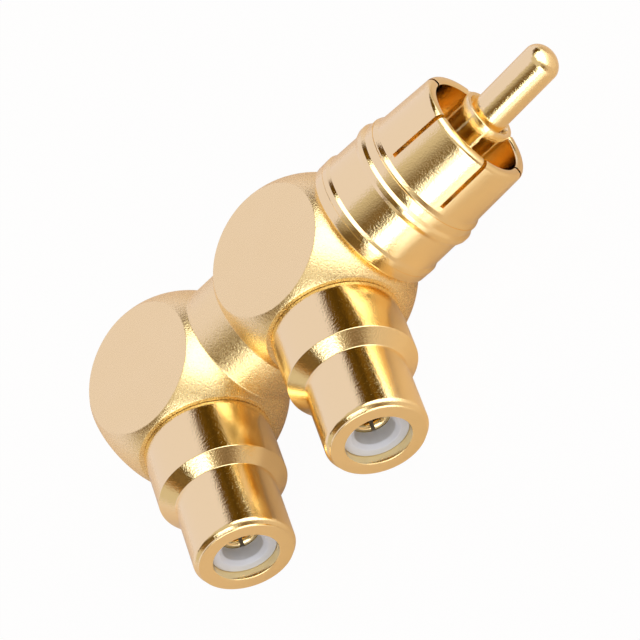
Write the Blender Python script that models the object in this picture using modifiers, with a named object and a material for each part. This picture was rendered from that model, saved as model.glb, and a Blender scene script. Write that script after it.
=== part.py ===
# RCA splitter adapter: one phono plug feeding two phono jacks, in a gold plated body of two joined balls.
# Frame: the plug points along +X, the jacks along -Y, and Z is up. The two ball centres lie on one line
# along X. The origin is the middle of the flat under the front ball, on which the adapter rests.
import math

import bpy
from mathutils import Matrix

MM = 0.001

# Body: two balls on one neck, milled flat above, below, at each seat and at the rear
BALL_RADIUS = 8.13 * MM
BALL_SPACING = 15.10 * MM
NECK_RADIUS = 5.50 * MM
FLAT_HEIGHT = 5.95 * MM
PLUG_SEAT_DISTANCE = 6.20 * MM
JACK_SEAT_DISTANCE = 5.85 * MM
REAR_FLAT_DISTANCE = 5.95 * MM
SEAT_BORE_RADIUS = 4.00 * MM
SEAT_BORE_DEPTH = 1.80 * MM
CHAMBER_RADIUS = 2.90 * MM
CHAMBER_HALF_LENGTH = 3.20 * MM
CHAMBER_TAIL = 3.60 * MM
NECK_BORE_RADIUS = 2.45 * MM

# Clearances
FIT_GAP = 0.05 * MM
SEAT_GAP = 0.05 * MM

# Turned metal that plugs into a seat of the body
SPIGOT_LENGTH = 1.60 * MM
CORE_BORE_RADIUS = 3.30 * MM
RING_LENGTH = 1.00 * MM
RING_BORE_RADIUS = 2.20 * MM
RING_RECESS = 0.15 * MM

# Plug base: a flange and a bead, each with a chamfer in front, and a band between them
FLANGE_RADIUS = FLAT_HEIGHT
FLANGE_REAR_RADIUS = 5.84 * MM
FLANGE_REAR_ROUNDING = 0.28 * MM
FLANGE_LENGTH = 1.45 * MM
FLANGE_CHAMFER = 0.25 * MM
BAND_RADIUS = 5.76 * MM
BAND_END_RADIUS = 5.69 * MM
BAND_LENGTH = 2.95 * MM
BEAD_REAR_RADIUS = 5.80 * MM
BEAD_RADIUS = 5.93 * MM
BEAD_LENGTH = 0.72 * MM
BEAD_CHAMFER = 0.23 * MM
NECKING_RADIUS = 5.67 * MM
NECKING_LENGTH = 0.72 * MM

# Split collar
COLLAR_STEP_RADIUS = 5.62 * MM
COLLAR_STEP_LENGTH = 0.14 * MM
COLLAR_STEP_CHAMFER = 0.32 * MM
COLLAR_ROOT_RADIUS = 5.41 * MM
COLLAR_MOUTH_RADIUS = 5.17 * MM
COLLAR_LENGTH = 5.40 * MM
COLLAR_BORE_RADIUS = 4.25 * MM
COLLAR_LIP_ROUNDING = 0.34 * MM
COLLAR_BORE_ROUNDING = 0.24 * MM
COLLAR_WEB = 0.70 * MM
COLLAR_SPIGOT_RADIUS = 4.90 * MM
COLLAR_SPIGOT_LENGTH = 2.80 * MM
COLLAR_SLOT_PAIRS = 3
COLLAR_SLOT_WIDTH = 0.34 * MM
COLLAR_SLOT_LENGTH = 4.95 * MM
COLLAR_SLOT_TURN = math.radians(45.5)

# Centre pin of the plug
PIN_RADIUS = 1.57 * MM
PIN_REACH = 8.45 * MM
PIN_TIP_LENGTH = 1.24 * MM
BOSS_RADIUS = 2.20 * MM
BOSS_REACH = 1.70 * MM
BOSS_ROUNDING = 0.45 * MM
SHANK_RADIUS = 1.20 * MM

# Plug insulators
NOSE_RADIUS = 2.55 * MM
FRONT_INSULATOR_LENGTH = 4.30 * MM

# Signal rod and what holds it in the body
ROD_RADIUS = 1.60 * MM
ROD_SOCKET_DEPTH = 3.60 * MM
ROD_TAIL = 2.85 * MM
BUSH_LENGTH = 1.90 * MM
SLEEVE_INSET = 0.25 * MM

# Jack shell
JACK_FLANGE_RADIUS = 5.45 * MM
JACK_FLANGE_LENGTH = 0.25 * MM
BARREL_RADIUS = 5.27 * MM
BARREL_LENGTH = 4.50 * MM
BARREL_CHAMFER = 0.95 * MM
NOZZLE_RADIUS = 4.15 * MM
NOZZLE_LENGTH = 6.12 * MM
LIP_LENGTH = 0.80 * MM
LIP_HEIGHT = 0.35 * MM
JACK_BORE_RADIUS = 2.68 * MM
JACK_SHOULDER = 3.70 * MM

# Jack insulator and contact
INSULATOR_RECESS = 0.80 * MM
PIN_HOLE_RADIUS = 1.64 * MM
PIN_HOLE_DEPTH = 0.90 * MM
PIN_HOLE_COUNTERSINK = 0.32 * MM
INSULATOR_COLLAR_LENGTH = 1.50 * MM
CONTACT_RADIUS = 2.00 * MM
CONTACT_BORE_RADIUS = 1.55 * MM
CONTACT_FLANGE_RADIUS = 2.90 * MM
CONTACT_FLANGE_LENGTH = 0.80 * MM
CONTACT_FLOOR = 0.60 * MM
CONTACT_SLOT_PAIRS = 2
CONTACT_SLOT_WIDTH = 0.32 * MM
CONTACT_SLOT_LENGTH = 5.00 * MM
CONTACT_SLOT_TURN = math.radians(20.0)
TAIL_RADIUS = 0.75 * MM
TAIL_PAST_AXIS = 0.80 * MM

# Facets
BODY_STEPS = 48
SHELL_STEPS = 40
CORE_STEPS = 24
HIDDEN_STEPS = 16
BALL_ARC_DEGREES = 10.0
ARC_DEGREES = 22.5
DOME_COUNT = 7
CUTTER_MARGIN = 4.0 * MM

# Places along the plug's axis, measured from the front ball's centre
BASE_SEAT = PLUG_SEAT_DISTANCE + SEAT_GAP
FLANGE_END = BASE_SEAT + FLANGE_LENGTH
BAND_START = FLANGE_END + FLANGE_CHAMFER
BEAD_START = BAND_START + BAND_LENGTH
BEAD_END = BEAD_START + BEAD_LENGTH
NECKING_START = BEAD_END + BEAD_CHAMFER
BASE_END = NECKING_START + NECKING_LENGTH
COLLAR_SEAT = BASE_END + SEAT_GAP
COLLAR_STEP_END = COLLAR_SEAT + COLLAR_STEP_LENGTH
COLLAR_START = COLLAR_STEP_END + COLLAR_STEP_CHAMFER
MOUTH = COLLAR_START + COLLAR_LENGTH
COLLAR_FLOOR = COLLAR_SEAT + COLLAR_WEB
PLUG_SPIGOT_END = PLUG_SEAT_DISTANCE - SPIGOT_LENGTH
PLUG_RING_REAR = PLUG_SPIGOT_END + RING_RECESS
PLUG_RING_FRONT = PLUG_RING_REAR + RING_LENGTH
PLUG_INSULATOR_FRONT = COLLAR_SEAT - SEAT_GAP
PLUG_INSULATOR_REAR = PLUG_INSULATOR_FRONT - FRONT_INSULATOR_LENGTH
ROD_FRONT = PLUG_INSULATOR_REAR - SEAT_GAP

# Places along a jack's axis, measured from its ball's centre
JACK_SEAT = JACK_SEAT_DISTANCE + SEAT_GAP
JACK_SPIGOT_END = JACK_SEAT_DISTANCE - SPIGOT_LENGTH
JACK_RING_REAR = JACK_SPIGOT_END + RING_RECESS
JACK_RING_FRONT = JACK_RING_REAR + RING_LENGTH
BARREL_START = JACK_SEAT + JACK_FLANGE_LENGTH
CHAMFER_START = BARREL_START + BARREL_LENGTH
NOZZLE_START = CHAMFER_START + BARREL_CHAMFER
JACK_MOUTH = NOZZLE_START + NOZZLE_LENGTH
INSULATOR_FACE = JACK_MOUTH - INSULATOR_RECESS
SHOULDER = JACK_SEAT_DISTANCE + JACK_SHOULDER
INSULATOR_COLLAR_REAR = SHOULDER - SEAT_GAP - INSULATOR_COLLAR_LENGTH
CONTACT_FRONT = INSULATOR_FACE - PIN_HOLE_DEPTH - SEAT_GAP
CONTACT_FLANGE_FRONT = INSULATOR_COLLAR_REAR - SEAT_GAP
CONTACT_FLANGE_REAR = CONTACT_FLANGE_FRONT - CONTACT_FLANGE_LENGTH

FRONT_BALL = (0.0, 0.0, FLAT_HEIGHT)
REAR_BALL = (-BALL_SPACING, 0.0, FLAT_HEIGHT)
ALONG_PLUG = (0.0, math.radians(90), 0.0)
ALONG_JACK = (math.radians(90), 0.0, 0.0)


def clear_scene():
    for item in list(bpy.data.objects):
        bpy.data.objects.remove(item, do_unlink=True)


def new_collection(name):
    collection = bpy.data.collections.new(name)
    bpy.context.scene.collection.children.link(collection)
    return collection


def finish(name, colour, roughness, metallic):
    material = bpy.data.materials.new(name)
    material.use_nodes = True
    shader = material.node_tree.nodes["Principled BSDF"]
    shader.inputs["Base Color"].default_value = (*colour, 1.0)
    shader.inputs["Roughness"].default_value = roughness
    shader.inputs["Metallic"].default_value = metallic
    return material


# Corners are (place along the axis, radius, rounding). A rounded corner becomes an arc.
def rounded(corners):
    points = []
    for index, (place, radius, rounding) in enumerate(corners):
        if rounding == 0.0:
            points.append((place, radius))
            continue
        before = corners[index - 1]
        after = corners[(index + 1) % len(corners)]
        points.extend(corner_arc(before, (place, radius), after, rounding))
    return points


def corner_arc(before, corner, after, rounding):
    towards_before = math.atan2(before[1] - corner[1], before[0] - corner[0])
    towards_after = math.atan2(after[1] - corner[1], after[0] - corner[0])
    opening = (towards_after - towards_before + math.pi) % (2 * math.pi) - math.pi
    half = abs(opening) / 2
    bisector = towards_before + opening / 2
    centre_distance = rounding / math.sin(half)
    centre = (corner[0] + centre_distance * math.cos(bisector),
              corner[1] + centre_distance * math.sin(bisector))
    sweep = math.copysign(math.pi - 2 * half, opening)
    count = max(2, round(math.degrees(abs(sweep)) / ARC_DEGREES))
    points = []
    for step in range(count + 1):
        angle = bisector + math.pi + sweep * (0.5 - step / count)
        points.append((centre[0] + rounding * math.cos(angle), centre[1] + rounding * math.sin(angle)))
    return points


# A turned piece: the outline runs down its outer side, and up its bore where it has one
def turned(name, outline, place, rotation, collection, steps, material=None):
    mesh = bpy.data.meshes.new(name)
    vertices = [(radius, 0.0, along) for along, radius in outline]
    edges = [(index, index + 1) for index in range(len(outline) - 1)]
    if min(radius for _, radius in outline) > 0.0:
        edges.append((len(outline) - 1, 0))
    mesh.from_pydata(vertices, edges, [])
    piece = bpy.data.objects.new(name, mesh)
    collection.objects.link(piece)
    piece.location = place
    piece.rotation_euler = rotation
    screw = piece.modifiers.new("turn", "SCREW")
    screw.steps = steps
    screw.render_steps = steps
    screw.use_merge_vertices = True
    screw.merge_threshold = 0.000001
    screw.use_smooth_shade = True
    if material is not None:
        mesh.materials.append(material)
    else:
        hide_cutter(piece)
    return piece


def block(name, size, place, collection, rotation=(0.0, 0.0, 0.0)):
    bpy.ops.mesh.primitive_cube_add(size=1.0, location=place, rotation=rotation)
    piece = bpy.context.object
    piece.name = name
    piece.data.transform(Matrix.Diagonal((*size, 1.0)))
    for holder in list(piece.users_collection):
        holder.objects.unlink(piece)
    collection.objects.link(piece)
    hide_cutter(piece)
    return piece


def hide_cutter(piece):
    piece.hide_render = True
    piece.display_type = "WIRE"


def cut(piece, cutter):
    boolean = piece.modifiers.new(cutter.name, "BOOLEAN")
    boolean.operation = "DIFFERENCE"
    boolean.solver = "EXACT"
    boolean.object = cutter


# Saw cuts across the open end of a sleeve, each one making two slots
def saw(piece, name, mouth, length, radius, width, pairs, turn, place, along_plug, cutters):
    depth = length + CUTTER_MARGIN
    middle = mouth - length + depth / 2
    for index in range(pairs):
        angle = turn + math.pi * index / pairs
        if along_plug:
            spot = (place[0] + middle, place[1], place[2])
            size = (depth, 2 * (radius + CUTTER_MARGIN), width)
            tilt = (angle, 0.0, 0.0)
        else:
            spot = (place[0], place[1] - middle, place[2])
            size = (2 * (radius + CUTTER_MARGIN), depth, width)
            tilt = (0.0, angle, 0.0)
        cut(piece, block(f"{name}_{index + 1}", size, spot, cutters, tilt))


def body_outline():
    junction = math.asin(NECK_RADIUS / BALL_RADIUS)
    count = round(math.degrees(math.pi - junction) / BALL_ARC_DEGREES)
    points = []
    for centre, first, last in ((0.0, 0.0, math.pi - junction), (-BALL_SPACING, junction, math.pi)):
        for step in range(count + 1):
            angle = first + (last - first) * step / count
            radius = BALL_RADIUS * math.sin(angle)
            if (step == 0 and first == 0.0) or (step == count and last == math.pi):
                radius = 0.0
            points.append((centre + BALL_RADIUS * math.cos(angle), radius))
    return points


def seat_bore(seat, bottom, bottom_radius):
    open_end = seat + CUTTER_MARGIN
    bore_end = seat - SEAT_BORE_DEPTH
    return [
        (open_end, 0.0),
        (open_end, SEAT_BORE_RADIUS),
        (bore_end, SEAT_BORE_RADIUS),
        (bore_end, bottom_radius),
        (bottom, bottom_radius),
        (bottom, 0.0),
    ]


def make_body(parts, cutters, satin_gold):
    body = turned("body_shell", body_outline(), FRONT_BALL, ALONG_PLUG, parts, BODY_STEPS, satin_gold)
    reach = BALL_SPACING + 4 * BALL_RADIUS
    middle = -BALL_SPACING / 2
    slab = 2 * CUTTER_MARGIN
    for name, side in (("flat_above", 1), ("flat_below", -1)):
        height = FLAT_HEIGHT + side * (FLAT_HEIGHT + slab / 2)
        cut(body, block(name, (reach, reach, slab), (middle, 0.0, height), cutters))
    jack_slab = JACK_SEAT_DISTANCE + slab / 2
    cut(body, block("jack_seats", (reach, slab, reach), (middle, -jack_slab, FLAT_HEIGHT), cutters))
    plug_slab = PLUG_SEAT_DISTANCE + slab / 2
    cut(body, block("plug_seat", (slab, reach, reach), (plug_slab, 0.0, FLAT_HEIGHT), cutters))
    rear_slab = -BALL_SPACING - REAR_FLAT_DISTANCE - slab / 2
    cut(body, block("rear_flat", (slab, reach, reach), (rear_slab, 0.0, FLAT_HEIGHT), cutters))
    long_bore = seat_bore(PLUG_SEAT_DISTANCE, -CHAMBER_HALF_LENGTH, CHAMBER_RADIUS)[:-1] + [
        (-CHAMBER_HALF_LENGTH, NECK_BORE_RADIUS),
        (-BALL_SPACING + CHAMBER_HALF_LENGTH, NECK_BORE_RADIUS),
        (-BALL_SPACING + CHAMBER_HALF_LENGTH, CHAMBER_RADIUS),
        (-BALL_SPACING - CHAMBER_TAIL, CHAMBER_RADIUS),
        (-BALL_SPACING - CHAMBER_TAIL, 0.0),
    ]
    cut(body, turned("plug_bore", long_bore, FRONT_BALL, ALONG_PLUG, cutters, SHELL_STEPS))
    jack_bore = seat_bore(JACK_SEAT_DISTANCE, 0.0, CHAMBER_RADIUS - FIT_GAP)
    cut(body, turned("front_jack_bore", jack_bore, FRONT_BALL, ALONG_JACK, cutters, SHELL_STEPS))
    cut(body, turned("rear_jack_bore", jack_bore, REAR_BALL, ALONG_JACK, cutters, SHELL_STEPS))


def make_plug_base(parts, bright_gold):
    corners = [
        (BASE_END, NECKING_RADIUS, 0.0),
        (NECKING_START, NECKING_RADIUS, 0.0),
        (BEAD_END, BEAD_RADIUS, 0.0),
        (BEAD_START, BEAD_REAR_RADIUS, 0.0),
        (BEAD_START, BAND_END_RADIUS, 0.0),
        (BAND_START, BAND_RADIUS, 0.0),
        (FLANGE_END, FLANGE_RADIUS, 0.0),
        (BASE_SEAT, FLANGE_REAR_RADIUS, FLANGE_REAR_ROUNDING),
        (BASE_SEAT, SEAT_BORE_RADIUS - FIT_GAP, 0.0),
        (PLUG_SPIGOT_END, SEAT_BORE_RADIUS - FIT_GAP, 0.0),
        (PLUG_SPIGOT_END, CORE_BORE_RADIUS, 0.0),
        (COLLAR_SEAT - COLLAR_SPIGOT_LENGTH - SEAT_GAP, CORE_BORE_RADIUS, 0.0),
        (COLLAR_SEAT - COLLAR_SPIGOT_LENGTH - SEAT_GAP, COLLAR_SPIGOT_RADIUS + FIT_GAP, 0.0),
        (BASE_END, COLLAR_SPIGOT_RADIUS + FIT_GAP, 0.0),
    ]
    turned("plug_base", rounded(corners), FRONT_BALL, ALONG_PLUG, parts, SHELL_STEPS, bright_gold)


def make_split_collar(parts, cutters, bright_gold):
    corners = [
        (MOUTH, COLLAR_BORE_RADIUS, COLLAR_BORE_ROUNDING),
        (MOUTH, COLLAR_MOUTH_RADIUS, COLLAR_LIP_ROUNDING),
        (COLLAR_START, COLLAR_ROOT_RADIUS, 0.0),
        (COLLAR_STEP_END, COLLAR_STEP_RADIUS, 0.0),
        (COLLAR_SEAT, COLLAR_STEP_RADIUS, 0.0),
        (COLLAR_SEAT, COLLAR_SPIGOT_RADIUS, 0.0),
        (COLLAR_SEAT - COLLAR_SPIGOT_LENGTH, COLLAR_SPIGOT_RADIUS, 0.0),
        (COLLAR_SEAT - COLLAR_SPIGOT_LENGTH, CORE_BORE_RADIUS, 0.0),
        (COLLAR_SEAT, CORE_BORE_RADIUS, 0.0),
        (COLLAR_SEAT, NOSE_RADIUS + FIT_GAP, 0.0),
        (COLLAR_FLOOR, NOSE_RADIUS + FIT_GAP, 0.0),
        (COLLAR_FLOOR, COLLAR_BORE_RADIUS, 0.0),
    ]
    collar = turned("split_collar", rounded(corners), FRONT_BALL, ALONG_PLUG, parts, SHELL_STEPS, bright_gold)
    saw(collar, "collar_slot", MOUTH, COLLAR_SLOT_LENGTH, COLLAR_ROOT_RADIUS, COLLAR_SLOT_WIDTH,
        COLLAR_SLOT_PAIRS, COLLAR_SLOT_TURN, FRONT_BALL, True, cutters)


def make_pin(parts, bright_gold):
    tip = MOUTH + PIN_REACH
    boss_end = MOUTH + BOSS_REACH
    dome = []
    for step in range(DOME_COUNT + 1):
        angle = math.radians(90) * step / DOME_COUNT
        radius = PIN_RADIUS * math.sin(angle) if step else 0.0
        dome.append((tip - PIN_TIP_LENGTH * (1 - math.cos(angle)), radius))
    corners = [
        (boss_end, PIN_RADIUS, 0.0),
        (boss_end, BOSS_RADIUS, BOSS_ROUNDING),
        (COLLAR_FLOOR + SEAT_GAP, BOSS_RADIUS, 0.0),
        (COLLAR_FLOOR + SEAT_GAP, SHANK_RADIUS, 0.0),
        (ROD_FRONT - ROD_SOCKET_DEPTH + SEAT_GAP, SHANK_RADIUS, 0.0),
        (ROD_FRONT - ROD_SOCKET_DEPTH + SEAT_GAP, 0.0, 0.0),
    ]
    turned("centre_pin", dome + rounded(corners), FRONT_BALL, ALONG_PLUG, parts, CORE_STEPS, bright_gold)


def make_plug_core(parts, plastic, brass):
    insulator_radius = CORE_BORE_RADIUS - FIT_GAP
    front = [
        (COLLAR_FLOOR, NOSE_RADIUS),
        (PLUG_INSULATOR_FRONT, NOSE_RADIUS),
        (PLUG_INSULATOR_FRONT, insulator_radius),
        (PLUG_INSULATOR_REAR, insulator_radius),
        (PLUG_INSULATOR_REAR, SHANK_RADIUS + FIT_GAP),
        (COLLAR_FLOOR, SHANK_RADIUS + FIT_GAP),
    ]
    turned("plug_front_insulator", front, FRONT_BALL, ALONG_PLUG, parts, CORE_STEPS, plastic)
    rear_end = PLUG_RING_FRONT + SEAT_GAP
    rear = tube(PLUG_INSULATOR_REAR - SEAT_GAP, rear_end, insulator_radius, ROD_RADIUS + FIT_GAP)
    turned("plug_rear_insulator", rear, FRONT_BALL, ALONG_PLUG, parts, HIDDEN_STEPS, plastic)
    ring = tube(PLUG_RING_FRONT, PLUG_RING_REAR, insulator_radius, RING_BORE_RADIUS)
    turned("plug_retaining_ring", ring, FRONT_BALL, ALONG_PLUG, parts, HIDDEN_STEPS, brass)


def tube(front, rear, outer, inner):
    return [(front, outer), (rear, outer), (rear, inner), (front, inner)]


def make_signal_path(parts, cutters, plastic, brass):
    rod_rear = -BALL_SPACING - ROD_TAIL
    socket_floor = ROD_FRONT - ROD_SOCKET_DEPTH
    outline = [
        (socket_floor, 0.0),
        (socket_floor, SHANK_RADIUS + FIT_GAP),
        (ROD_FRONT, SHANK_RADIUS + FIT_GAP),
        (ROD_FRONT, ROD_RADIUS),
        (rod_rear, ROD_RADIUS),
        (rod_rear, 0.0),
    ]
    rod = turned("signal_rod", outline, FRONT_BALL, ALONG_PLUG, parts, CORE_STEPS, brass)
    hole = [
        (ROD_RADIUS + CUTTER_MARGIN, 0.0),
        (ROD_RADIUS + CUTTER_MARGIN, TAIL_RADIUS + FIT_GAP),
        (-ROD_RADIUS - CUTTER_MARGIN, TAIL_RADIUS + FIT_GAP),
        (-ROD_RADIUS - CUTTER_MARGIN, 0.0),
    ]
    cut(rod, turned("front_tail_hole", hole, FRONT_BALL, ALONG_JACK, cutters, CORE_STEPS))
    cut(rod, turned("rear_tail_hole", hole, REAR_BALL, ALONG_JACK, cutters, CORE_STEPS))

    sleeve_front = -CHAMBER_HALF_LENGTH - SLEEVE_INSET
    sleeve_rear = -BALL_SPACING + CHAMBER_HALF_LENGTH + SLEEVE_INSET
    sleeve = tube(sleeve_front, sleeve_rear, NECK_BORE_RADIUS - FIT_GAP, ROD_RADIUS + FIT_GAP)
    turned("neck_sleeve", sleeve, FRONT_BALL, ALONG_PLUG, parts, HIDDEN_STEPS, plastic)

    bush_rear = -BALL_SPACING - CHAMBER_TAIL + SEAT_GAP
    bush_front = bush_rear + BUSH_LENGTH
    bush_radius = CHAMBER_RADIUS - FIT_GAP
    pocket = ROD_RADIUS + FIT_GAP
    cup = [
        (rod_rear - SEAT_GAP, 0.0),
        (rod_rear - SEAT_GAP, pocket),
        (bush_front, pocket),
        (bush_front, bush_radius),
        (bush_rear, bush_radius),
        (bush_rear, 0.0),
    ]
    turned("rod_end_bush", cup, FRONT_BALL, ALONG_PLUG, parts, HIDDEN_STEPS, plastic)


def lip_points():
    count = round(90 / ARC_DEGREES)
    points = []
    for step in range(count + 1):
        angle = math.radians(90) * step / count
        place = JACK_MOUTH - LIP_LENGTH * (1 - math.cos(angle))
        points.append((place, NOZZLE_RADIUS - LIP_HEIGHT * (1 - math.sin(angle))))
    return points


def make_jack(side, ball, parts, cutters, bright_gold, white, plastic, brass):
    spigot = SEAT_BORE_RADIUS - FIT_GAP
    shell = [
        (JACK_MOUTH, JACK_BORE_RADIUS),
        *lip_points(),
        (NOZZLE_START, NOZZLE_RADIUS),
        (CHAMFER_START, BARREL_RADIUS),
        (BARREL_START, BARREL_RADIUS),
        (BARREL_START, JACK_FLANGE_RADIUS),
        (JACK_SEAT, JACK_FLANGE_RADIUS),
        (JACK_SEAT, spigot),
        (JACK_SPIGOT_END, spigot),
        (JACK_SPIGOT_END, CORE_BORE_RADIUS),
        (SHOULDER, CORE_BORE_RADIUS),
        (SHOULDER, JACK_BORE_RADIUS),
    ]
    turned(f"{side}_jack_shell", shell, ball, ALONG_JACK, parts, SHELL_STEPS, bright_gold)

    collar_radius = CORE_BORE_RADIUS - FIT_GAP
    insulator = [
        (INSULATOR_FACE, PIN_HOLE_RADIUS + PIN_HOLE_COUNTERSINK),
        (INSULATOR_FACE, JACK_BORE_RADIUS - FIT_GAP),
        (SHOULDER - SEAT_GAP, JACK_BORE_RADIUS - FIT_GAP),
        (SHOULDER - SEAT_GAP, collar_radius),
        (INSULATOR_COLLAR_REAR, collar_radius),
        (INSULATOR_COLLAR_REAR, CONTACT_RADIUS + FIT_GAP),
        (INSULATOR_FACE - PIN_HOLE_DEPTH, CONTACT_RADIUS + FIT_GAP),
        (INSULATOR_FACE - PIN_HOLE_DEPTH, PIN_HOLE_RADIUS),
        (INSULATOR_FACE - PIN_HOLE_COUNTERSINK, PIN_HOLE_RADIUS),
    ]
    turned(f"{side}_jack_insulator", insulator, ball, ALONG_JACK, parts, CORE_STEPS, white)

    contact_floor = CONTACT_FLANGE_FRONT + CONTACT_FLOOR
    contact = [
        (contact_floor, 0.0),
        (contact_floor, CONTACT_BORE_RADIUS),
        (CONTACT_FRONT, CONTACT_BORE_RADIUS),
        (CONTACT_FRONT, CONTACT_RADIUS),
        (CONTACT_FLANGE_FRONT, CONTACT_RADIUS),
        (CONTACT_FLANGE_FRONT, CONTACT_FLANGE_RADIUS),
        (CONTACT_FLANGE_REAR, CONTACT_FLANGE_RADIUS),
        (CONTACT_FLANGE_REAR, TAIL_RADIUS),
        (-TAIL_PAST_AXIS, TAIL_RADIUS),
        (-TAIL_PAST_AXIS, 0.0),
    ]
    sleeve = turned(f"{side}_jack_contact", contact, ball, ALONG_JACK, parts, CORE_STEPS, bright_gold)
    saw(sleeve, f"{side}_contact_slot", CONTACT_FRONT, CONTACT_SLOT_LENGTH, CONTACT_RADIUS,
        CONTACT_SLOT_WIDTH, CONTACT_SLOT_PAIRS, CONTACT_SLOT_TURN, ball, False, cutters)

    washer_end = JACK_RING_FRONT + SEAT_GAP
    washer = tube(CONTACT_FLANGE_REAR - SEAT_GAP, washer_end, collar_radius, TAIL_RADIUS + FIT_GAP)
    turned(f"{side}_jack_rear_insulator", washer, ball, ALONG_JACK, parts, HIDDEN_STEPS, plastic)
    ring = tube(JACK_RING_FRONT, JACK_RING_REAR, collar_radius, RING_BORE_RADIUS)
    turned(f"{side}_jack_retaining_ring", ring, ball, ALONG_JACK, parts, HIDDEN_STEPS, brass)


def main():
    clear_scene()
    parts = new_collection("rca_splitter_adapter")
    cutters = new_collection("cutters")
    satin_gold = finish("bead blasted gold plate", (0.83, 0.64, 0.38), 0.42, 1.0)
    bright_gold = finish("polished gold plate", (0.80, 0.60, 0.33), 0.12, 1.0)
    brass = finish("turned brass", (0.70, 0.52, 0.25), 0.30, 1.0)
    white = finish("white acetal", (0.72, 0.73, 0.74), 0.40, 0.0)
    plastic = finish("natural acetal", (0.80, 0.78, 0.72), 0.45, 0.0)

    make_body(parts, cutters, satin_gold)
    make_plug_base(parts, bright_gold)
    make_split_collar(parts, cutters, bright_gold)
    make_pin(parts, bright_gold)
    make_plug_core(parts, plastic, brass)
    make_signal_path(parts, cutters, plastic, brass)
    for side, ball in (("front", FRONT_BALL), ("rear", REAR_BALL)):
        make_jack(side, ball, parts, cutters, bright_gold, white, plastic, brass)


main()
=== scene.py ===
import math

import bpy
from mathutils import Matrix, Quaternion, Vector


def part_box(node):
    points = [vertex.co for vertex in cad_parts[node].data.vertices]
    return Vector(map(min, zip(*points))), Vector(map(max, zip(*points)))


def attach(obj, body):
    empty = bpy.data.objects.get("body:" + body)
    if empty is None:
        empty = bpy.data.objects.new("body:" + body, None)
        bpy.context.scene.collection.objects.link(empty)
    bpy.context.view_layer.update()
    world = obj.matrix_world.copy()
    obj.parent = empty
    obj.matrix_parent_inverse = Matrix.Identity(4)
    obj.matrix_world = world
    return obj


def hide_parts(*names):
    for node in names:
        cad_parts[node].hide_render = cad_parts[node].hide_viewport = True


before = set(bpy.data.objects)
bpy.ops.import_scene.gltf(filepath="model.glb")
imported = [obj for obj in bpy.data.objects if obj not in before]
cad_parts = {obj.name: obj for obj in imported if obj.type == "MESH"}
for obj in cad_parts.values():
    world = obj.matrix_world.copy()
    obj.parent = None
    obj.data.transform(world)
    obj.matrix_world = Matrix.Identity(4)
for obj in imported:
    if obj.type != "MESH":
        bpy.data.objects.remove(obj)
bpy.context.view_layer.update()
print("Frame loaded:", len(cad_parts), "nodes")

# Metres in a mm, metres at which points are welded, mm by which blades overshoot, and the degrees at which
# an edge is shaded sharp
mm = 0.001
weldDistance = 0.0000005
overshoot = 4.0
sharpAngle = 35.0


# Places read from the frame: both jack axes, the height of the plug's axis, and the three mouths
def readPlaces():
    frontLow, frontHigh = (Vector(corner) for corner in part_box("front_jack_shell"))
    rearLow, rearHigh = (Vector(corner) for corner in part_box("rear_jack_shell"))
    pinLow, pinHigh = (Vector(corner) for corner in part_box("centre_pin"))
    height = (pinLow.z + pinHigh.z) / 2
    plugLine = (pinLow.y + pinHigh.y) / 2
    return {
        "frontBall": Vector(((frontLow.x + frontHigh.x) / 2, plugLine, height)),
        "rearBall": Vector(((rearLow.x + rearHigh.x) / 2, plugLine, height)),
        "jackMouth": (plugLine - frontLow.y) / mm,
        "collarMouth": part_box("split_collar")[1][0] / mm,
        "pinTip": pinHigh.x / mm,
        "flatHeight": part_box("body_shell")[1][2] / mm - height / mm,
    }


places = readPlaces()
alongPlug = (0.0, math.radians(90), 0.0)
alongJack = (math.radians(90), 0.0, 0.0)
upright = (0.0, 0.0, 0.0)
upsideDown = (math.radians(180), 0.0, 0.0)


# Outlines of turned pieces: points are (place along the axis, radius) in mm
def arcPoints(centre, radius, fromDegrees, toDegrees, count):
    points = []
    for step in range(count + 1):
        angle = math.radians(fromDegrees + (toDegrees - fromDegrees) * step / count)
        points.append((centre + radius * math.cos(angle), radius * math.sin(angle)))
    return points


# A corner with a third number is rounded by that radius
def roundCorners(corners, arcCount=6):
    points = []
    for index, corner in enumerate(corners):
        if len(corner) == 2:
            points.append(corner)
            continue
        here = Vector(corner[:2])
        before = (Vector(corners[index - 1][:2]) - here).normalized()
        after = (Vector(corners[(index + 1) % len(corners)][:2]) - here).normalized()
        half = before.angle(after) / 2
        centre = here + (before + after).normalized() * corner[2] / math.sin(half)
        start = here + before * corner[2] / math.tan(half) - centre
        end = here + after * corner[2] / math.tan(half) - centre
        sweep = start.angle(end)
        for step in range(arcCount + 1):
            share = step / arcCount
            spoke = (start * math.sin((1 - share) * sweep) + end * math.sin(share * sweep)) / math.sin(sweep)
            points.append(tuple(centre + spoke))
    return points


# An outline runs down its outer side, from the piece's front to its back
def turnPiece(name, outline, place, facing, steps):
    mesh = bpy.data.meshes.new(name)
    edges = [(index, index + 1) for index in range(len(outline) - 1)]
    if min(point[1] for point in outline) > 0.0:
        edges.append((len(outline) - 1, 0))
    mesh.from_pydata([(point[1] * mm, 0.0, point[0] * mm) for point in outline], edges, [])
    piece = bpy.data.objects.new(name, mesh)
    bpy.context.scene.collection.objects.link(piece)
    piece.location = place
    piece.rotation_euler = facing
    screw = piece.modifiers.new("turn", "SCREW")
    screw.steps = steps
    screw.render_steps = steps
    screw.use_merge_vertices = True
    screw.merge_threshold = weldDistance
    return piece


def cutAway(piece, cutter):
    boolean = piece.modifiers.new("cut", "BOOLEAN")
    boolean.operation = "DIFFERENCE"
    boolean.solver = "EXACT"
    boolean.object = cutter


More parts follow.
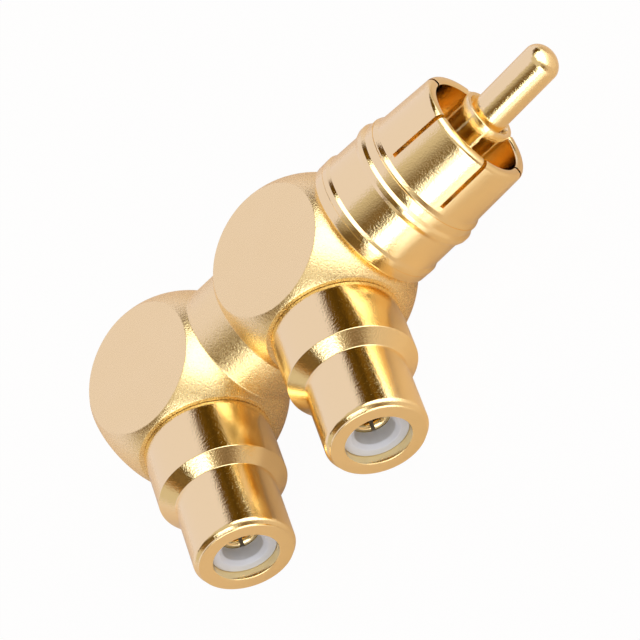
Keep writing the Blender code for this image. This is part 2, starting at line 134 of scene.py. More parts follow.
# Saws slots right across a turned piece, from its mouth inwards. The blades overshoot the mouth
def cutSlots(piece, ball, outwards, mouth, reach, size):
    axis = Vector((abs(outwards.x), abs(outwards.y), 0.0))
    across = Vector((axis.y, axis.x, 0.0))
    length = size["slotLength"] + overshoot
    for index in range(size["slotPairs"]):
        bpy.ops.mesh.primitive_cube_add(size=1.0)
        blade = bpy.context.object
        blade.name = "slotBlade"
        thickness = Vector((0.0, 0.0, size["slotWidth"] * mm))
        blade.scale = axis * (length * mm) + across * (reach * mm) + thickness
        blade.location = ball + outwards * ((mouth - size["slotLength"] + length / 2) * mm)
        blade.rotation_euler = axis * math.radians(size["slotTurn"] + 180 * index / size["slotPairs"])
        cutAway(piece, blade)


# Fixes the modifiers into the mesh, removes the cutters and shades the result
def settle(piece, material, sharpest=sharpAngle, edge=0.0):
    cutters = [modifier.object for modifier in piece.modifiers if modifier.type == "BOOLEAN"]
    if edge > 0.0:
        bevel = piece.modifiers.new("edge", "BEVEL")
        bevel.width = edge * mm
        bevel.segments = 3
        bevel.limit_method = "ANGLE"
        bevel.angle_limit = math.radians(sharpest)
        bevel.use_clamp_overlap = True
    bpy.context.view_layer.update()
    evaluated = piece.evaluated_get(bpy.context.evaluated_depsgraph_get())
    mesh = bpy.data.meshes.new_from_object(evaluated)
    piece.modifiers.clear()
    piece.data = mesh
    mesh.materials.clear()
    mesh.materials.append(material)
    mesh.shade_smooth()
    mesh.set_sharp_from_angle(angle=math.radians(sharpest))
    for cutter in cutters:
        bpy.data.objects.remove(cutter, do_unlink=True)
    weighted = piece.modifiers.new("even shading", "WEIGHTED_NORMAL")
    weighted.keep_sharp = True
    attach(piece, "root")


# Colours and materials
def linear(hexColour):
    channels = [int(hexColour[index:index + 2], 16) / 255 for index in (1, 3, 5)]
    return tuple(value / 12.92 if value <= 0.04045 else ((value + 0.055) / 1.055) ** 2.4
                 for value in channels) + (1.0,)


# Adds a node. Settings and links name an input, an input's number or a property
def addNode(tree, kind, settings=None, links=None):
    node = tree.nodes.new(kind)
    for key, value in (settings or {}).items():
        if isinstance(key, str) and hasattr(node, key):
            setattr(node, key, value)
        else:
            node.inputs[key].default_value = value
    for key, source in (links or {}).items():
        tree.links.new(source, node.inputs[key])
    return node


def newMaterial(name, colour, metallic, roughness, ior=None):
    material = bpy.data.materials.new(name)
    material.use_nodes = True
    shader = material.node_tree.nodes["Principled BSDF"]
    shader.inputs["Base Color"].default_value = linear(colour)
    shader.inputs["Metallic"].default_value = metallic
    shader.inputs["Roughness"].default_value = roughness
    if ior is not None:
        shader.inputs["IOR"].default_value = ior
    return material, material.node_tree, shader


# Each value is a number or a socket
def compute(tree, operation, *values):
    node = addNode(tree, "ShaderNodeMath", {"operation": operation})
    for place, value in enumerate(values):
        if isinstance(value, (int, float)):
            node.inputs[place].default_value = value
        else:
            tree.links.new(value, node.inputs[place])
    return node.outputs["Value"]


# Each colour is a value or a socket
def mixColour(tree, share, first, second):
    node = addNode(tree, "ShaderNodeMix", {"data_type": "RGBA"}, {0: share})
    for place, colour in ((6, first), (7, second)):
        if isinstance(colour, tuple):
            node.inputs[place].default_value = colour
        else:
            tree.links.new(colour, node.inputs[place])
    return node.outputs[2]


# Sizes and depths are in real mm
def addNoise(tree, vector, size, detail=2.0, roughness=0.5):
    settings = {"Scale": 1 / (size * mm), "Detail": detail, "Roughness": roughness}
    return addNode(tree, "ShaderNodeTexNoise", settings, {"Vector": vector}).outputs["Fac"]


def addBump(tree, height, depth, strength=1.0, links=None):
    settings = {"Strength": strength, "Distance": depth * mm}
    return addNode(tree, "ShaderNodeBump", settings, {"Height": height, **(links or {})}).outputs["Normal"]


# A noise runs mostly between the two levels that a look names
def varyRoughness(tree, noise, look):
    spread = addNode(tree, "ShaderNodeMapRange",
                     {"From Min": look["noiseLow"], "From Max": look["noiseHigh"],
                      "To Min": look["roughness"] - look["roughnessSpread"],
                      "To Max": look["roughness"] + look["roughnessSpread"]},
                     {"Value": noise})
    return spread.outputs["Result"]


# Gold plate over brass blasted with fine glass beads: its dents of about 0.1 mm, drawn a little coarser so
# that they show, break the reflection into sparkle. They are shallower on the milled flats, which face along
# the piece's own X and Z axes
def makeBlastedGold(look):
    material, tree, shader = newMaterial("Bead blasted gold plate on brass", look["colour"], 1.0,
                                         look["roughness"])
    where = addNode(tree, "ShaderNodeTexCoord")
    dents = addNoise(tree, where.outputs["Object"], look["dentSize"], roughness=look["dentHarshness"])
    patches = addNoise(tree, where.outputs["Object"], look["patchSize"])
    facing = addNode(tree, "ShaderNodeSeparateXYZ", {}, {0: where.outputs["Normal"]})
    upOrDown = compute(tree, "ABSOLUTE", facing.outputs["X"])
    endways = compute(tree, "ABSOLUTE", facing.outputs["Z"])
    flatness = compute(tree, "MAXIMUM", upOrDown, endways)
    strength = addNode(tree, "ShaderNodeMapRange",
                       {"From Min": look["flatFrom"], "From Max": look["flatFull"],
                        "To Min": 1.0, "To Max": look["flatShare"]},
                       {"Value": flatness})
    bump = addBump(tree, dents, look["dentDepth"], links={"Strength": strength.outputs["Result"]})
    tint = mixColour(tree, patches, linear(look["colour"]), linear(look["thinColour"]))
    tree.links.new(tint, shader.inputs["Base Color"])
    tree.links.new(varyRoughness(tree, dents, look), shader.inputs["Roughness"])
    tree.links.new(bump, shader.inputs["Normal"])
    return material


# Gold plate over turned and barrel polished brass: mirror bright, with a faint orange peel that frays the
# edges of reflections, and turning marks that draw them out round the piece
def makePolishedGold(look):
    material, tree, shader = newMaterial("Polished gold plate on turned brass", look["colour"], 1.0,
                                         look["roughness"])
    where = addNode(tree, "ShaderNodeTexCoord")
    peel = addNoise(tree, where.outputs["Object"], look["peelSize"], look["peelDetail"],
                    look["peelHarshness"])
    alongAxis = addNode(tree, "ShaderNodeVectorMath", {"operation": "MULTIPLY", 1: look["markStretch"]},
                        {0: where.outputs["Object"]})
    marks = addNoise(tree, alongAxis.outputs["Vector"], look["markPitch"])
    peelBump = addBump(tree, peel, look["peelDepth"])
    markBump = addBump(tree, marks, look["markDepth"], look["markStrength"], {"Normal": peelBump})
    tree.links.new(varyRoughness(tree, peel, look), shader.inputs["Roughness"])
    tree.links.new(markBump, shader.inputs["Normal"])
    return material


# Bare turned brass, unseen inside: duller, with plain turning marks
def makeTurnedBrass(look):
    material, tree, shader = newMaterial("Bare turned brass", look["colour"], 1.0, look["roughness"])
    where = addNode(tree, "ShaderNodeTexCoord")
    marks = addNoise(tree, where.outputs["Object"], look["markPitch"])
    bump = addBump(tree, marks, look["markDepth"], look["markStrength"])
    tree.links.new(bump, shader.inputs["Normal"])
    return material


# Turned acetal: a soft sheen, faintly clouded, with a faint tool texture on its faces
def makeAcetal(name, look):
    material, tree, shader = newMaterial(name, look["colour"], 0.0, look["roughness"], look["ior"])
    where = addNode(tree, "ShaderNodeTexCoord")
    cloud = addNoise(tree, where.outputs["Object"], look["cloudSize"])
    grain = addNoise(tree, where.outputs["Object"], look["grainSize"], 1.0)
    bump = addBump(tree, grain, look["grainDepth"], look["grainStrength"])
    tint = mixColour(tree, cloud, linear(look["colour"]), linear(look["shadeColour"]))
    tree.links.new(tint, shader.inputs["Base Color"])
    tree.links.new(bump, shader.inputs["Normal"])
    return material


goldLook = {
    "colour": "#ffe7ae",
    "thinColour": "#fde4a9",
    "roughness": 0.28,
    "roughnessSpread": 0.06,
    "noiseLow": 0.3,
    "noiseHigh": 0.7,
    "dentSize": 0.16,
    "dentDepth": 0.031,
    "dentHarshness": 0.7,
    "flatShare": 0.20,
    "flatFrom": 0.97,
    "flatFull": 0.999,
    "patchSize": 2.5,
}
polishLook = {
    "colour": "#ffe7ae",
    "roughness": 0.05,
    "roughnessSpread": 0.02,
    "noiseLow": 0.35,
    "noiseHigh": 0.7,
    "peelSize": 0.16,
    "peelDepth": 0.013,
    "peelDetail": 3.0,
    "peelHarshness": 0.6,
    "markPitch": 0.06,
    "markStretch": (0.02, 0.02, 1.0),
    "markDepth": 0.001,
    "markStrength": 0.3,
}
brassLook = {"colour": "#e6c27a", "roughness": 0.28, "markPitch": 0.08, "markDepth": 0.003,
             "markStrength": 0.5}
whiteLook = {"colour": "#dae0ec", "shadeColour": "#ced5e2", "roughness": 0.35, "ior": 1.48,
             "cloudSize": 1.2, "grainSize": 0.10, "grainDepth": 0.004, "grainStrength": 0.3}
naturalLook = {"colour": "#e8e4d6", "shadeColour": "#ddd8c8", "roughness": 0.42, "ior": 1.48,
               "cloudSize": 1.5, "grainSize": 0.12, "grainDepth": 0.004, "grainStrength": 0.3}

blastedGold = makeBlastedGold(goldLook)
polishedGold = makePolishedGold(polishLook)
turnedBrass = makeTurnedBrass(brassLook)
whiteAcetal = makeAcetal("Turned white acetal", whiteLook)
naturalAcetal = makeAcetal("Turned natural acetal", naturalLook)
print("Materials made")


# The body: two balls on a neck, milled flat above, below, at each seat and at the rear, then blasted
body = {
    "ballRadius": 8.13,
    "neckRadius": 5.50,
    "plugSeat": 6.20,
    "jackSeat": 5.85,
    "rearFlat": 5.95,
    "seatBore": 4.00,
    "seatBoreDepth": 1.80,
    "chamberRadius": 2.90,
    "chamberReach": 3.20,
    "chamberTail": 3.60,
    "neckBore": 2.45,
    "edgeRounding": 0.20,
    "seatRounding": 0.07,
    "creaseRounding": 0.22,
    "cornerAngle": 1.6,
    "ballSteps": 44,
    "millGap": 0.05,
    "turns": 160,
}


# The balls' arcs stop a corner's angle short of each corner, which leaves room for its rounding
def bodyOutline(size, spacing):
    ball = size["ballRadius"]
    seatEdge = math.degrees(math.acos(size["plugSeat"] / ball))
    rearEdge = math.degrees(math.acos(size["rearFlat"] / ball))
    crease = math.degrees(math.asin(size["neckRadius"] / ball))
    clear = size["cornerAngle"]
    front = size["plugSeat"]
    creasePlace = ball * math.cos(math.radians(crease))
    corners = [
        (-spacing - size["chamberTail"], 0.0),
        (-spacing - size["chamberTail"], size["chamberRadius"]),
        (-spacing + size["chamberReach"], size["chamberRadius"]),
        (-spacing + size["chamberReach"], size["neckBore"]),
        (-size["chamberReach"], size["neckBore"]),
        (-size["chamberReach"], size["chamberRadius"]),
        (front - size["seatBoreDepth"], size["chamberRadius"]),
        (front - size["seatBoreDepth"], size["seatBore"]),
        (front, size["seatBore"]),
        (front, ball * math.sin(math.radians(seatEdge)), size["edgeRounding"]),
    ]
    corners += arcPoints(0.0, ball, seatEdge + clear, 180 - crease - clear, size["ballSteps"])
    corners += [
        (-creasePlace, size["neckRadius"], size["creaseRounding"]),
        (-spacing + creasePlace, size["neckRadius"], size["creaseRounding"]),
    ]
    corners += arcPoints(-spacing, ball, crease + clear, 180 - rearEdge - clear, size["ballSteps"])
    corners += [
        (-spacing - size["rearFlat"], ball * math.sin(math.radians(rearEdge)), size["edgeRounding"]),
        (-spacing - size["rearFlat"], 0.0),
    ]
    return roundCorners(corners)


# The outer part of a mill that leaves a flat with a rounded edge on a ball, down to the flat's rim
def millOutline(size, distance, rounding):
    inner = distance - rounding
    rim = math.sqrt((size["ballRadius"] - rounding) ** 2 - inner ** 2)
    roundedShare = 0.8
    roundSteps = 4
    lastAngle = roundedShare * math.atan2(rim, inner)
    overrun = 0.3
    edge = (inner + rounding * math.cos(lastAngle), rim + rounding * math.sin(lastAngle))
    wall = edge[1] + overrun * math.cos(lastAngle)
    top = distance + size["ballRadius"]
    outline = [(top, 0.0), (top, wall), (edge[0] - overrun * math.sin(lastAngle), wall)]
    for step in range(roundSteps + 1):
        angle = lastAngle * (1 - step / roundSteps)
        outline.append((inner + rounding * math.cos(angle), rim + rounding * math.sin(angle)))
    return outline


def makeBody(size):
    spacing = (places["frontBall"].x - places["rearBall"].x) / mm
    shell = turnPiece("bodyShell", bodyOutline(size, spacing), places["frontBall"], alongPlug, size["turns"])
    flat = millOutline(size, places["flatHeight"], size["edgeRounding"])
    flat.append((places["flatHeight"], 0.0))
    seat = millOutline(size, size["jackSeat"], size["seatRounding"])
    boreEnd = size["jackSeat"] - size["seatBoreDepth"]
    drillRadius = size["chamberRadius"] - size["millGap"]
    seat += [(size["jackSeat"], size["seatBore"]), (boreEnd, size["seatBore"]),
             (boreEnd, drillRadius), (0.0, drillRadius), (0.0, 0.0)]
    for ball in ("frontBall", "rearBall"):
        for facing in (upright, upsideDown):
            cutAway(shell, turnPiece("flatMill", flat, places[ball], facing, size["turns"]))
        cutAway(shell, turnPiece("seatMill", seat, places[ball], alongJack, size["turns"]))
    settle(shell, blastedGold)
    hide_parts("body_shell")


# The plug's base: a flange and a bead with a band between them, crisp edges and two fine turned lines
plugBase = {
    "spigotEnd": 4.60,
    "spigotRadius": 3.95,
    "seat": 6.25,
    "flangeRearRadius": 5.92,
    "flangeRearRounding": 0.28,
    "flangeRadius": 5.95,
    "flangeEnd": 7.70,
    "flangeLine": 7.22,
    "flangeFall": 0.01,
    "bandStart": 7.95,
    "bandRadius": 5.76,
    "bandEndRadius": 5.69,
    "beadStart": 10.90,
    "beadRearRadius": 5.80,
    "flareEnd": 11.25,
    "flareRounding": 0.2,
    "beadRadius": 5.93,
    "beadEnd": 11.62,
    "neckingStart": 11.85,
    "neckingRadius": 5.67,
    "end": 12.62,
    "lineWidth": 0.05,
    "lineDepth": 0.04,
    "edgeRounding": 0.04,
    "seamRounding": 0.015,
    "coreBore": 3.30,
    "socketRadius": 4.95,
    "socketDepth": 2.80,
    "sharpAngle": 20.0,
    "turns": 160,
}


def makePlugBase(size):
    edge = size["edgeRounding"]
    socketFloor = size["end"] - size["socketDepth"]
    lineRadius = size["flangeRadius"] - size["lineDepth"]
    bandLine = size["bandEndRadius"] - size["lineDepth"]
    corners = [
        (size["end"], size["neckingRadius"], size["seamRounding"]),
        (size["neckingStart"], size["neckingRadius"]),
        (size["beadEnd"], size["beadRadius"], edge),
        (size["flareEnd"], size["beadRadius"], size["flareRounding"]),
        (size["beadStart"], size["beadRearRadius"]),
        (size["beadStart"], bandLine),
        (size["beadStart"] - size["lineWidth"], bandLine),
        (size["beadStart"] - size["lineWidth"], size["bandEndRadius"]),
        (size["bandStart"], size["bandRadius"]),
        (size["flangeEnd"], size["flangeRadius"], edge),
        (size["flangeLine"] + size["lineWidth"], size["flangeRadius"]),
        (size["flangeLine"] + size["lineWidth"], lineRadius),
        (size["flangeLine"], lineRadius),
        (size["flangeLine"], size["flangeRadius"] - size["flangeFall"]),
        (size["seat"], size["flangeRearRadius"], size["flangeRearRounding"]),
        (size["seat"], size["spigotRadius"]),
        (size["spigotEnd"], size["spigotRadius"]),
        (size["spigotEnd"], size["coreBore"]),
        (socketFloor, size["coreBore"]),
        (socketFloor, size["socketRadius"]),
        (size["end"], size["socketRadius"]),
    ]
    base = turnPiece("plugBase", roundCorners(corners), places["frontBall"], alongPlug, size["turns"])
    settle(base, polishedGold, size["sharpAngle"])
    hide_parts("plug_base")


# The split collar: six petals that grip a jack
collar = {
    "seat": 12.62,
    "stepRadius": 5.62,
    "stepEnd": 12.76,
    "start": 13.08,
    "rootRadius": 5.41,
    "mouthRadius": 5.17,
    "boreRadius": 4.25,
    "lipRounding": 0.50,
    "boreRounding": 0.24,
    "floor": 13.32,
    "floorRounding": 0.15,
    "noseBore": 2.60,
    "spigotRadius": 4.90,
    "spigotLength": 2.80,
    "coreBore": 3.30,
    "slotPairs": 3,
    "slotWidth": 0.34,
    "slotLength": 4.95,
    "slotTurn": 45.5,
    "edge": 0.02,
    "sharpAngle": 20.0,
    "turns": 144,
}


def makeCollar(size):
    mouth = places["collarMouth"]
    corners = [
        (mouth, size["boreRadius"], size["boreRounding"]),
        (mouth, size["mouthRadius"], size["lipRounding"]),
        (size["start"], size["rootRadius"]),
        (size["stepEnd"], size["stepRadius"], size["edge"]),
        (size["seat"], size["stepRadius"], size["edge"]),
        (size["seat"], size["spigotRadius"]),
        (size["seat"] - size["spigotLength"], size["spigotRadius"]),
        (size["seat"] - size["spigotLength"], size["coreBore"]),
        (size["seat"], size["coreBore"]),
        (size["seat"], size["noseBore"]),
        (size["floor"], size["noseBore"]),
        (size["floor"], size["boreRadius"], size["floorRounding"]),
    ]
    sleeve = turnPiece("splitCollar", roundCorners(corners), places["frontBall"], alongPlug, size["turns"])
    reach = 2 * size["stepRadius"] + overshoot
    cutSlots(sleeve, places["frontBall"], Vector((1.0, 0.0, 0.0)), mouth, reach, size)
    settle(sleeve, polishedGold, size["sharpAngle"], size["edge"])
    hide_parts("split_collar")


# The plug's centre pin, with its dished boss, past which it is bent a little
pin = {
    "radius": 1.57,
    "tipLength": 1.24,
    "bossRadius": 2.30,
    "bossEnd": 19.84,
    "bossRounding": 0.05,
    "dishRadius": 1.98,
    "dishDepth": 0.95,
    "dishRounding": 0.10,
    "rimRounding": 0.04,
    "bossStart": 13.37,
    "shankRadius": 1.20,
    "shankEnd": 4.67,
    "bend": 0.033,
    "domeSteps": 24,
    "arcSteps": 10,
    "turns": 96,
}


def makePin(size):
    tip = places["pinTip"]
    dome = []
    for step in range(size["domeSteps"] + 1):
        angle = math.radians(90) * step / size["domeSteps"]
        radius = size["radius"] * math.sin(angle) if step else 0.0
        dome.append((tip - size["tipLength"] * (1 - math.cos(angle)), radius))
    corners = dome + [
        (size["bossEnd"] - size["dishDepth"], size["radius"], size["dishRounding"]),
        (size["bossEnd"], size["dishRadius"], size["rimRounding"]),
        (size["bossEnd"], size["bossRadius"], size["bossRounding"]),
        (size["bossStart"], size["bossRadius"]),
        (size["bossStart"], size["shankRadius"]),
        (size["shankEnd"], size["shankRadius"]),
        (size["shankEnd"], 0.0),
    ]
    outline = roundCorners(corners, size["arcSteps"])
    piece = turnPiece("centrePin", outline, places["frontBall"], alongPlug, size["turns"])
    settle(piece, polishedGold)
    for vertex in piece.data.vertices:
        shift = size["bend"] * max(0.0, vertex.co.z - size["bossEnd"] * mm)
        vertex.co += Vector((-shift, shift, 0.0))
    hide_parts("centre_pin")


# A jack: turned shell, white insulator and the split contact behind its pin hole
jack = {
    "spigotEnd": 4.25,
    "spigotRadius": 3.95,
    "seat": 5.90,
    "barrelRadius": 5.27,
    "chamferStart": 10.65,
    "nozzleStart": 11.60,
    "nozzleRadius": 4.15,
    "lipHeight": 0.28,
    "lipRounding": 0.45,
    "lipSlope": 48.0,
    "lipSteps": 12,
    "lipLine": 0.05,
    "rimLength": 0.16,
    "rimRadius": 3.84,
    "rimRounding": 0.07,
    "rimFootRounding": 0.03,
    "boreRadius": 2.68,
    "boreRounding": 0.08,
    "shoulder": 9.55,
    "coreBore": 3.30,
    "edgeRounding": 0.09,
    "seatRounding": 0.04,
    "sharpAngle": 25.0,
    "turns": 144,
}
insulator = {
    "recess": 0.80,
    "radius": 2.675,
    "edgeRounding": 0.08,
    "holeRadius": 1.64,
    "holeDepth": 1.55,
    "countersink": 0.32,
    "holeRounding": 0.15,
    "collarRadius": 3.25,
    "collarFront": 9.50,
    "collarRear": 8.00,
    "contactBore": 2.05,
    "turns": 96,
}
contact = {
    "radius": 2.00,
    "boreRadius": 1.55,
    "lipBore": 1.15,
    "noseRounding": 0.42,
    "lipLength": 1.00,
    "throatLength": 0.6,
    "throatRounding": 0.30,
    "edgeRounding": 0.10,
    "frontGap": 1.60,
    "flangeRadius": 2.90,
    "flangeFront": 7.95,
    "flangeRear": 7.15,
    "floor": 8.55,
    "tailRadius": 0.75,
    "tailEnd": -0.80,
    "slotPairs": 2,
    "slotWidth": 0.32,
    "slotLength": 4.60,
    "slotTurn": 35.0,
    "sharpAngle": 30.0,
    "turns": 72,
}


def makeJackShell(name, ball, size):
    mouth = places["jackMouth"]
    lipEnd = mouth - size["rimLength"]
    lineRadius = size["nozzleRadius"] - size["lipHeight"] - size["lipLine"]
    slope = math.radians(size["lipSlope"])
    roundHeight = size["lipRounding"] * (1 - math.cos(slope))
    coneLength = (size["lipHeight"] - roundHeight) / math.tan(slope)
    roundStart = lipEnd - size["lipLine"] - coneLength - size["lipRounding"] * math.sin(slope)
    lip = [(lipEnd, lineRadius), (lipEnd - size["lipLine"], size["nozzleRadius"] - size["lipHeight"])]
    for step in range(size["lipSteps"] + 1):
        angle = slope * (1 - step / size["lipSteps"])
        lip.append((roundStart + size["lipRounding"] * math.sin(angle),
                    size["nozzleRadius"] - size["lipRounding"] * (1 - math.cos(angle))))
    corners = [
        (mouth, size["boreRadius"], size["boreRounding"]),
        (mouth, size["rimRadius"], size["rimRounding"]),
        (lipEnd, size["nozzleRadius"] - size["lipHeight"], size["rimFootRounding"]),
        *lip,
        (size["nozzleStart"], size["nozzleRadius"], size["edgeRounding"]),
        (size["chamferStart"], size["barrelRadius"], size["edgeRounding"]),
        (size["seat"], size["barrelRadius"], size["seatRounding"]),
        (size["seat"], size["spigotRadius"]),
        (size["spigotEnd"], size["spigotRadius"]),
        (size["spigotEnd"], size["coreBore"]),
        (size["shoulder"], size["coreBore"]),
        (size["shoulder"], size["boreRadius"]),
    ]
    shell = turnPiece(name + "JackShell", roundCorners(corners), ball, alongJack, size["turns"])
    settle(shell, polishedGold, size["sharpAngle"])
    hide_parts(name + "_jack_shell")


def makeJackInsulator(name, ball, size):
    face = places["jackMouth"] - size["recess"]
    corners = [
        (face, size["holeRadius"] + size["countersink"], size["holeRounding"]),
        (face, size["radius"], size["edgeRounding"]),
        (size["collarFront"], size["radius"]),
        (size["collarFront"], size["collarRadius"]),
        (size["collarRear"], size["collarRadius"]),
        (size["collarRear"], size["contactBore"]),
        (face - size["holeDepth"], size["contactBore"]),
        (face - size["holeDepth"], size["holeRadius"]),
        (face - size["countersink"], size["holeRadius"], size["holeRounding"]),
    ]
    disc = turnPiece(name + "JackInsulator", roundCorners(corners), ball, alongJack, size["turns"])
    settle(disc, whiteAcetal)
    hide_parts(name + "_jack_insulator")


def makeJackContact(name, ball, size):
    front = places["jackMouth"] - insulator["recess"] - size["frontGap"]
    corners = [
        (size["floor"], 0.0),
        (size["floor"], size["boreRadius"]),
        (front - size["lipLength"] - size["throatLength"], size["boreRadius"]),
        (front - size["lipLength"], size["lipBore"], size["throatRounding"]),
        (front, size["lipBore"], size["noseRounding"]),
        (front, size["radius"], size["edgeRounding"]),
        (size["flangeFront"], size["radius"]),
        (size["flangeFront"], size["flangeRadius"]),
        (size["flangeRear"], size["flangeRadius"]),
        (size["flangeRear"], size["tailRadius"]),
        (size["tailEnd"], size["tailRadius"]),
        (size["tailEnd"], 0.0),
    ]
    sleeve = turnPiece(name + "JackContact", roundCorners(corners), ball, alongJack, size["turns"])
    cutSlots(sleeve, ball, Vector((0.0, -1.0, 0.0)), front, 2 * size["flangeRadius"], size)
    settle(sleeve, polishedGold, size["sharpAngle"])
    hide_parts(name + "_jack_contact")


makeBody(body)
print("Body made")
makePlugBase(plugBase)
makeCollar(collar)
makePin(pin)
print("Plug made")
for name, ball in (("front", places["frontBall"]), ("rear", places["rearBall"])):
    makeJackShell(name, ball, jack)
    makeJackInsulator(name, ball, insulator)
    makeJackContact(name, ball, contact)
print("Jacks made")


# Pieces hidden inside keep the frame's shapes
hiddenPieces = {
    "plug_front_insulator": naturalAcetal,
    "plug_rear_insulator": naturalAcetal,
    "plug_retaining_ring": turnedBrass,
    "signal_rod": turnedBrass,
    "neck_sleeve": naturalAcetal,
    "rod_end_bush": naturalAcetal,
    "front_jack_rear_insulator": naturalAcetal,
    "rear_jack_rear_insulator": naturalAcetal,
    "front_jack_retaining_ring": turnedBrass,
    "rear_jack_retaining_ring": turnedBrass,
}
for nodeName, material in hiddenPieces.items():
    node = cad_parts[nodeName]
    node.data.materials.clear()
    node.data.materials.append(material)
print("Hidden pieces dressed")


# Camera: a long lens, turned so that the plug points up to the right
cameraView = {
    "aim": (-1.98, -2.68, 4.57),
    "azimuth": -57.395,
    "elevation": 40.84,
    "distance": 281.69,
    "roll": -65.05,
    "lens": 200.2,
    "nearest": 0.01,
    "farthest": 10.0,
}


def directionOf(azimuth, elevation):
    level = math.cos(math.radians(elevation))
    return Vector((level * math.cos(math.radians(azimuth)), level * math.sin(math.radians(azimuth)),
                   math.sin(math.radians(elevation))))


def makeCamera(view):
    data = bpy.data.cameras.new("photo camera")
    data.lens = view["lens"]
    data.clip_start = view["nearest"]
    data.clip_end = view["farthest"]
    camera = bpy.data.objects.new("photo camera", data)
    bpy.context.scene.collection.objects.link(camera)
    towards = directionOf(view["azimuth"], view["elevation"])
    camera.location = Vector(view["aim"]) * mm + towards * view["distance"] * mm
    camera.rotation_mode = "QUATERNION"
    roll = Quaternion((0.0, 0.0, 1.0), math.radians(view["roll"]))
    camera.rotation_quaternion = (-towards).to_track_quat("-Z", "Y") @ roll
    bpy.context.scene.camera = camera


# The studio around the adapter, seen from it in degrees: walls, soft boxes and dark gaps, painted in this
# order. A fleck is the glow of the small brighter things in a gap
room = {
    "floorColour": "#dfc8ae",
    "floorSize": 6.0,
    "floorRoughness": 0.12,
    "whiteness": 0.97,
    "whitenessInMetal": 0.08,
    "backdropInMetal": 0.005,
    "glow": 0.66,
    "colour": "#fff2e2",
    "fleckScale": 14.0,
    "fleckFrom": 0.46,
    "fleckFull": 0.62,
    "fleckDetail": 3.0,
    "fleckHarshness": 0.6,
    "mirrorBounces": 6,
}
studio = {
    "left tent wall": {"azimuth": 127, "halfWidth": 67, "low": -10, "high": 78,
                       "softness": 2, "topSoftness": 2, "glow": 0.94, "colour": "#efe8ff"},
    "right soft box": {"azimuth": 0, "halfWidth": 34, "low": -3, "high": 59,
                       "softness": 2, "topSoftness": 2, "glow": 2.60, "colour": "#fffefb"},
    "right box edge": {"azimuth": 31, "halfWidth": 10, "low": -6, "high": 7,
                       "softness": 1, "topSoftness": 1, "glow": 2.00, "colour": "#f2f6ff"},
    "front soft box": {"azimuth": -96, "halfWidth": 20, "low": 3, "high": 37,
                       "softness": 2, "topSoftness": 2, "glow": 3.20, "colour": "#f9fcff"},
    "gap behind": {"azimuth": 47, "halfWidth": 14, "low": 7, "high": 60,
                   "softness": 1, "topSoftness": 1, "glow": 0.05, "fleck": 0.25, "colour": "#ffba30"},
    "gap on the left": {"azimuth": -139, "halfWidth": 31, "low": 24, "high": 59,
                        "softness": 2, "topSoftness": 15, "glow": 0.08, "fleck": 0.32, "colour": "#ffcd82"},
    "low gap on the left": {"azimuth": -132, "halfWidth": 14, "low": 17, "high": 25,
                            "softness": 2, "topSoftness": 2, "glow": 0.30, "fleck": 0.50,
                            "colour": "#ffbe72"},
    "gap below the camera": {"azimuth": -61, "halfWidth": 13, "low": -7, "high": 25,
                             "softness": 3, "topSoftness": 3, "glow": 0.18, "fleck": 0.45,
                             "colour": "#ffd8b0"},
}


# How white a ray sees the backdrop: nearly all for the camera, a little in metal and glass
def whiteShare(tree, forCamera, inMetal):
    rays = addNode(tree, "ShaderNodeLightPath")
    through = compute(tree, "ADD", rays.outputs["Is Glossy Ray"], rays.outputs["Is Transmission Ray"])
    little = compute(tree, "MULTIPLY", through, inMetal)
    return compute(tree, "MULTIPLY_ADD", rays.outputs["Is Camera Ray"], forCamera, little)


# A pale table: satin paint that takes the adapter's shadow, seen as nearly plain white
def makeFloor(settings):
    material, tree, shader = newMaterial("Pale satin table", settings["floorColour"], 0.0,
                                         settings["floorRoughness"])
    white = addNode(tree, "ShaderNodeEmission", {"Color": linear("#ffffff"), "Strength": 1.0})
    share = whiteShare(tree, settings["whiteness"], settings["whitenessInMetal"])
    mixed = addNode(tree, "ShaderNodeMixShader", {},
                    {0: share, 1: shader.outputs["BSDF"], 2: white.outputs["Emission"]})
    tree.links.new(mixed.outputs["Shader"], tree.nodes["Material Output"].inputs["Surface"])
    bpy.ops.mesh.primitive_plane_add(size=settings["floorSize"])
    floor = bpy.context.object
    floor.name = "floor"
    floor.data.materials.append(material)


def softStep(tree, value, start, end):
    step = addNode(tree, "ShaderNodeMapRange",
                   {"interpolation_type": "SMOOTHSTEP",
                    "From Min": math.radians(start), "From Max": math.radians(end)},
                   {"Value": value})
    return step.outputs["Result"]


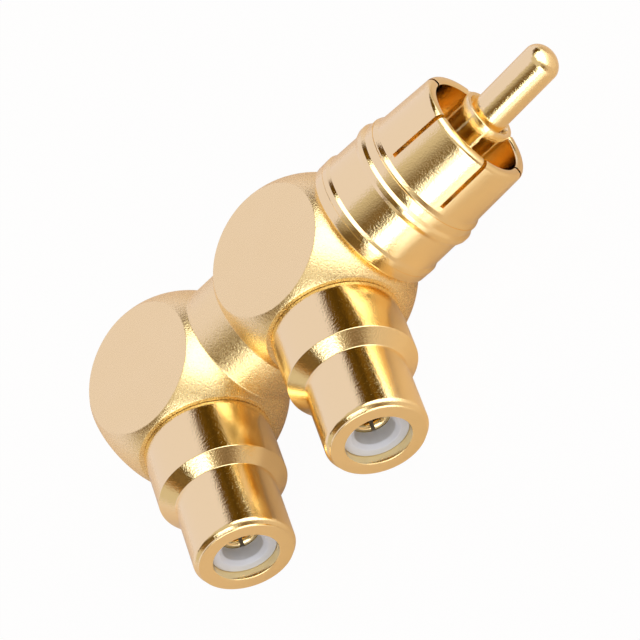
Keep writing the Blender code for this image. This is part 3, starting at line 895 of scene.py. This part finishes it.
# How far inside a soft rectangle a direction lies, from 0 outside to 1 inside
def rectangleShare(tree, heading, height, patch):
    turned = addNode(tree, "ShaderNodeVectorRotate",
                     {"rotation_type": "Z_AXIS", "Angle": math.radians(-patch["azimuth"])},
                     {"Vector": heading})
    parts = addNode(tree, "ShaderNodeSeparateXYZ", {}, {0: turned.outputs["Vector"]})
    across = compute(tree, "ARCTAN2", parts.outputs["Y"], parts.outputs["X"])
    offset = compute(tree, "ABSOLUTE", across)
    soft = patch["softness"]
    inside = softStep(tree, offset, patch["halfWidth"] + soft, patch["halfWidth"] - soft)
    above = softStep(tree, height, patch["low"] - soft, patch["low"] + soft)
    below = softStep(tree, height, patch["high"] + patch["topSoftness"], patch["high"] - patch["topSoftness"])
    return compute(tree, "MULTIPLY", compute(tree, "MULTIPLY", inside, above), below)


def glowColour(patch, glow="glow"):
    return tuple(channel * patch[glow] for channel in linear(patch["colour"])[:3]) + (1.0,)


def makeWorld(settings, patches):
    world = bpy.data.worlds.new("studio")
    bpy.context.scene.world = world
    world.use_nodes = True
    tree = world.node_tree
    heading = addNode(tree, "ShaderNodeTexCoord").outputs["Generated"]
    parts = addNode(tree, "ShaderNodeSeparateXYZ", {}, {0: heading})
    height = compute(tree, "ARCSINE", parts.outputs["Z"])
    clutter = addNode(tree, "ShaderNodeTexNoise",
                      {"Scale": settings["fleckScale"], "Detail": settings["fleckDetail"],
                       "Roughness": settings["fleckHarshness"]},
                      {"Vector": heading})
    busy = addNode(tree, "ShaderNodeMapRange",
                   {"From Min": settings["fleckFrom"], "From Max": settings["fleckFull"]},
                   {"Value": clutter.outputs["Fac"]}).outputs["Result"]
    colour = glowColour(settings)
    for patch in patches.values():
        glow = glowColour(patch)
        if "fleck" in patch:
            glow = mixColour(tree, busy, glow, glowColour(patch, "fleck"))
        colour = mixColour(tree, rectangleShare(tree, heading, height, patch), colour, glow)
    share = whiteShare(tree, 1.0, settings["backdropInMetal"])
    backdrop = mixColour(tree, share, colour, linear("#ffffff"))
    tree.links.new(backdrop, tree.nodes["Background"].inputs["Color"])


makeCamera(cameraView)
makeFloor(room)
makeWorld(room, studio)
bpy.context.scene.view_settings.view_transform = "Standard"
# Light reaches the gold inside the collar and the jacks only over many mirror bounces
bpy.context.scene.cycles.glossy_bounces = room["mirrorBounces"]
print("Studio set")
